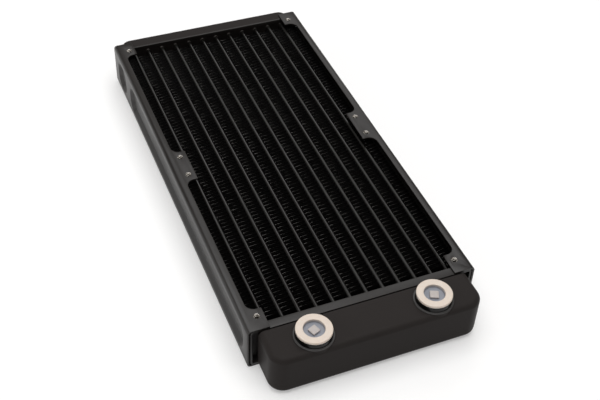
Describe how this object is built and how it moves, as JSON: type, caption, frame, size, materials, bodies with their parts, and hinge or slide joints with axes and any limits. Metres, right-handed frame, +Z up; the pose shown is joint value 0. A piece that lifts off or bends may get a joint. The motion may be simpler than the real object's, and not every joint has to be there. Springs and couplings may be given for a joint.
{
  "type": "liquid cooling radiator",
  "caption": "Slim black liquid cooling radiator: flat tubes with folded fins between pressed steel rails, a tank with capped threaded ports at one end and a return tank at the other.",
  "frame": {"origin": "middle of the fan screw pattern, in the plane of the lower flanges", "axes": "+Z up through the core's thickness towards the side with the ports' mouths, Y along the flat tubes with the port tank at -Y, X across the tubes"},
  "size_m": [0.12, 0.2679, 0.0297],
  "materials": {
    "rail_steel": "satin black powder coat on folded steel sheet",
    "tank_brass": "satin black paint on drawn brass",
    "core_brass": "thin black paint on brass tube",
    "fin_copper": "thin matt black paint on copper foil",
    "cap_plastic": "moulded natural polyethylene, slightly translucent"
  },
  "bodies": {
    "radiator": {"left_side_rail": "rail_steel", "right_side_rail": "rail_steel", "port_header": "tank_brass", "return_header": "tank_brass", "port_tank": "tank_brass", "return_tank": "tank_brass", "tank_divider": "tank_brass", "inlet_port": "tank_brass", "outlet_port": "tank_brass", "left_side_plate": "core_brass", "right_side_plate": "core_brass", "flat_tube_01": "core_brass", "flat_tube_02": "core_brass", "flat_tube_03": "core_brass", "flat_tube_04": "core_brass", "flat_tube_05": "core_brass", "flat_tube_06": "core_brass", "flat_tube_07": "core_brass", "flat_tube_08": "core_brass", "flat_tube_09": "core_brass", "flat_tube_10": "core_brass", "flat_tube_11": "core_brass", "flat_tube_12": "core_brass", "fin_strip_01": "fin_copper", "fin_strip_02": "fin_copper", "fin_strip_03": "fin_copper", "fin_strip_04": "fin_copper", "fin_strip_05": "fin_copper", "fin_strip_06": "fin_copper", "fin_strip_07": "fin_copper", "fin_strip_08": "fin_copper", "fin_strip_09": "fin_copper", "fin_strip_10": "fin_copper", "fin_strip_11": "fin_copper", "fin_strip_12": "fin_copper", "fin_strip_13": "fin_copper"},
    "inlet_cap": {"inlet_port_cap": "cap_plastic"},
    "outlet_cap": {"outlet_port_cap": "cap_plastic"}
  },
  "joints": [
    {"name": "inlet_cap_pull", "type": "slide", "parent": "radiator", "child": "inlet_cap", "axis": [0, 0, 1], "range_m": [0, 0.04]},
    {"name": "outlet_cap_pull", "type": "slide", "parent": "radiator", "child": "outlet_cap", "axis": [0, 0, 1], "range_m": [0, 0.04]}
  ]
}
